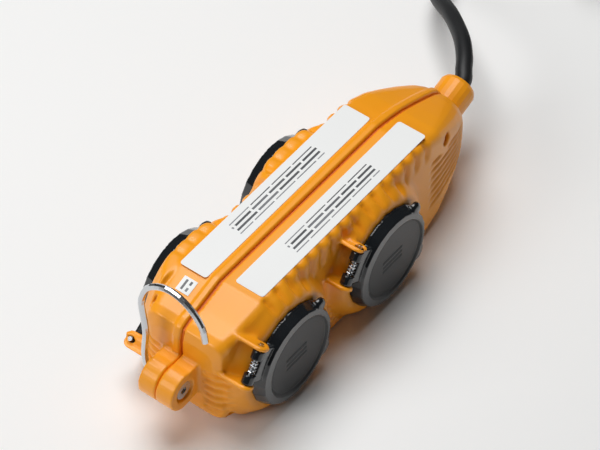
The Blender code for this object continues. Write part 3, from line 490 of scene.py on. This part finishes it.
# each layer climbs a little earlier in the turn than it steps across, so no two turns meet
LAYER_TURNS = 3.72
FIRST_STEP = 0.86
FIRST_CLIMB = 3.72
# the last turn lies over to the middle of its bundle, one layer up
LAST_MOVE, LAST_MOVE_LENGTH = 21.6, 0.38
LAST_CLIMB, LAST_CLIMB_LENGTH = 21.5, 0.2
plug_low, plug_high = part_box("plug")
plug_spot = Vector((plug_low.x + 30 * MM, (plug_low.y + plug_high.y) / 2,
                    (plug_low.z + plug_high.z) / 2))
out = Vector((math.cos(SLEEVE_PITCH) * math.cos(SLEEVE_YAW),
              math.cos(SLEEVE_PITCH) * math.sin(SLEEVE_YAW), math.sin(SLEEVE_PITCH)))
mouth = [SLEEVE_ROOT + out * (SLEEVE_LENGTH + reach) * MM for reach in (0.8, 4.5)]


def smooth_path(points, per_span):
    """Points of a smooth curve through a route."""
    route = [Vector(point) for point in points]
    ends = [2 * route[0] - route[1]] + route + [2 * route[-1] - route[-2]]
    path = []
    for i in range(1, len(route)):
        a, b, c, d = ends[i - 1:i + 3]
        for k in range(per_span):
            t = k / per_span
            path.append(0.5 * (2 * b + (c - a) * t + (2 * a - 5 * b + 4 * c - d) * t ** 2
                               + (3 * b - a - 3 * c + d) * t ** 3))
    path.append(route[-1])
    return path


def hank_spot(turn, inset, straight, outer):
    """A place on a long ring: turns start on the far straight run and go round clockwise."""
    share = (turn % 1) * 4
    radius = outer - inset
    side, part = int(share), share - int(share)
    if side == 0:
        return part * straight, radius
    if side == 2:
        return (1 - part) * straight, -radius
    angle = math.pi / 2 - math.pi * part
    if side == 1:
        return straight + radius * math.cos(angle), radius * math.sin(angle)
    return -radius * math.cos(angle), -radius * math.sin(angle)


def cord_path(straight):
    """The cord's whole centreline, with hank runs of this straight length."""
    end = Vector(CORD_ROUTE[-1]) * MM
    outer = HANK_FOLD + (HANK_COLUMNS - 1) * 2 * CORD_RADIUS
    path = smooth_path(mouth + [Vector(p) * MM for p in CORD_ROUTE], 3)
    path += [Vector((end.x + (HANK_START_X - end.x) * k / 4, end.y, end.z)) for k in (1, 2, 3)]
    for k in range(TURNS * TURN_STEPS + 1):
        turn = k / TURN_STEPS
        column = layer = 0.0
        for level in range(HANK_LAYERS):
            begin = FIRST_STEP + level * LAYER_TURNS
            for step in range(HANK_COLUMNS - 1):
                moved = float(ramp(begin + step, begin + step + STEP_LENGTH, turn))
                column += moved if level % 2 == 0 else -moved
            if level < HANK_LAYERS - 1:
                climb = FIRST_CLIMB + level * LAYER_TURNS
                layer += float(ramp(climb, climb + STEP_LENGTH, turn))
        column += (HANK_COLUMNS - 1) / 2 * float(
            ramp(LAST_MOVE, LAST_MOVE + LAST_MOVE_LENGTH, turn))
        layer += float(ramp(LAST_CLIMB, LAST_CLIMB + LAST_CLIMB_LENGTH, turn))
        along, across = hank_spot(turn, 2 * CORD_RADIUS * column, straight, outer)
        path.append(Vector((HANK_START_X + along, end.y - outer + across,
                            end.z + 2 * CORD_RADIUS * layer)))
    tail = smooth_path([path[-4], path[-1]] + [plug_spot + Vector(p) * MM for p in CORD_TAIL], 4)
    return path[:-1] + tail[4:]


def line_length(path):
    return sum((b - a).length for a, b in zip(path, path[1:]))


hank_straight = 89 * MM
for attempt in range(8):
    hank_straight += (CORD_LENGTH - line_length(cord_path(hank_straight))) / (2 * TURNS)
centreline = cord_path(hank_straight)
cord_curve = bpy.data.curves.new("mains_cord", "CURVE")
cord_curve.dimensions = "3D"
cord_curve.bevel_depth = CORD_RADIUS
cord_curve.bevel_resolution = 4
cord_curve.use_fill_caps = True
line = cord_curve.splines.new("POLY")
line.points.add(len(centreline) - 1)
for point, spot in zip(line.points, centreline):
    point.co = (*spot, 1)
line.use_smooth = True
cord = bpy.data.objects.new("mains_cord", cord_curve)
scene.collection.objects.link(cord)
sheath = finish_of("rubber_extruded_black", "#141517", "#1D1E20", 0.5, 1.0, 0.3)
cord_curve.materials.append(sheath)
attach(cord, "root")
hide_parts("cord", "cord_tail", "cord_hank")
# two hook-and-loop straps of woven nylon hold the hank at its rounded ends
strap_nylon = finish_of("nylon_woven_black", "#1B1C1F", "#26282C", 0.75, 0.9, 0.6)
STRAP_WIDTH = 12 * MM
STRAP_THICKNESS = 0.9 * MM
hank_low, hank_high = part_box("cord_hank")
bundle = HANK_COLUMNS * 2 * CORD_RADIUS
for label, middle_x in (("near", hank_low.x + bundle / 2), ("far", hank_high.x - bundle / 2)):
    deselect()
    bpy.ops.mesh.primitive_cube_add(size=1)
    strap = bpy.context.object
    strap.name = "hank_strap_" + label
    slack = 1.3 * MM
    middle = Vector((middle_x, (hank_low.y + hank_high.y) / 2, (hank_low.z + hank_high.z) / 2))
    strap.data.transform(Matrix.Translation(middle) @ Matrix.Diagonal(
        (bundle + 2 * slack, STRAP_WIDTH, hank_high.z - hank_low.z + 0.8 * MM, 1)))
    bpy.ops.object.mode_set(mode="EDIT")
    grid = bmesh.from_edit_mesh(strap.data)
    ends = [f for f in grid.faces if abs(f.normal.y) > 0.9]
    bmesh.ops.delete(grid, geom=ends, context="FACES_ONLY")
    lengthways = [e for e in grid.edges if abs(e.verts[0].co.y - e.verts[1].co.y) > 1 * MM]
    bmesh.ops.bevel(grid, geom=lengthways, offset=3.5 * MM, segments=6, affect="EDGES", profile=0.5)
    bmesh.update_edit_mesh(strap.data)
    bpy.ops.object.mode_set(mode="OBJECT")
    wall = strap.modifiers.new("wall", "SOLIDIFY")
    wall.thickness = STRAP_THICKNESS
    wall.offset = 1
    bpy.ops.object.modifier_apply(modifier=wall.name)
    strap.data.materials.append(strap_nylon)
    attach(strap, "root")
paint(sheath, "cord_inside")
paint(black_rubber, "plug")
paint(nickelled_brass, "plug_pin_1", "plug_pin_2")

# ---- Floor, backdrop and light ---------------------------------------------------------------
# a plain pale floor under a broad overhead softbox, a smaller one from the camera's left, and
# an even pale surround
bpy.ops.object.select_all(action="DESELECT")
bpy.ops.mesh.primitive_plane_add(size=8)
floor = bpy.context.object
floor.name = "floor"
paper = bpy.data.materials.new("paper_matt_white")
paper.use_nodes = True
tree, shader = paper.node_tree, paper.node_tree.nodes["Principled BSDF"]
shader.inputs["Base Color"].default_value = linear("#FBFBFA")
shader.inputs["Roughness"].default_value = 0.9
shader.inputs["Specular IOR Level"].default_value = 0.1
floor.data.materials.append(paper)
world = bpy.data.worlds.new("surround")
scene.world = world
world.use_nodes = True
tree = world.node_tree
surround = tree.nodes["Background"]
direction = node(tree, "ShaderNodeTexCoord").outputs["Generated"]
up = node(tree, "ShaderNodeSeparateXYZ", Vector=direction).outputs["Z"]
lift = node(tree, "ShaderNodeMapRange", Value=up, From_Min=0.0, From_Max=0.9, To_Min=0.8, To_Max=1.05)
tree.links.new(lift.outputs["Result"], surround.inputs["Strength"])
for name, spot, size, power in (("softbox_above", (0.15, 0.35, 1.5), 1.0, 19),
                                ("softbox_left", (-1.3, 0.5, 0.9), 0.7, 8)):
    lamp = bpy.data.lights.new(name, "AREA")
    lamp.size = size
    lamp.energy = power
    holder = bpy.data.objects.new(name, lamp)
    holder.location = spot
    holder.rotation_euler = (Vector((0, 0, 0.03)) - Vector(spot)).to_track_quat("-Z", "Y").to_euler()
    scene.collection.objects.link(holder)
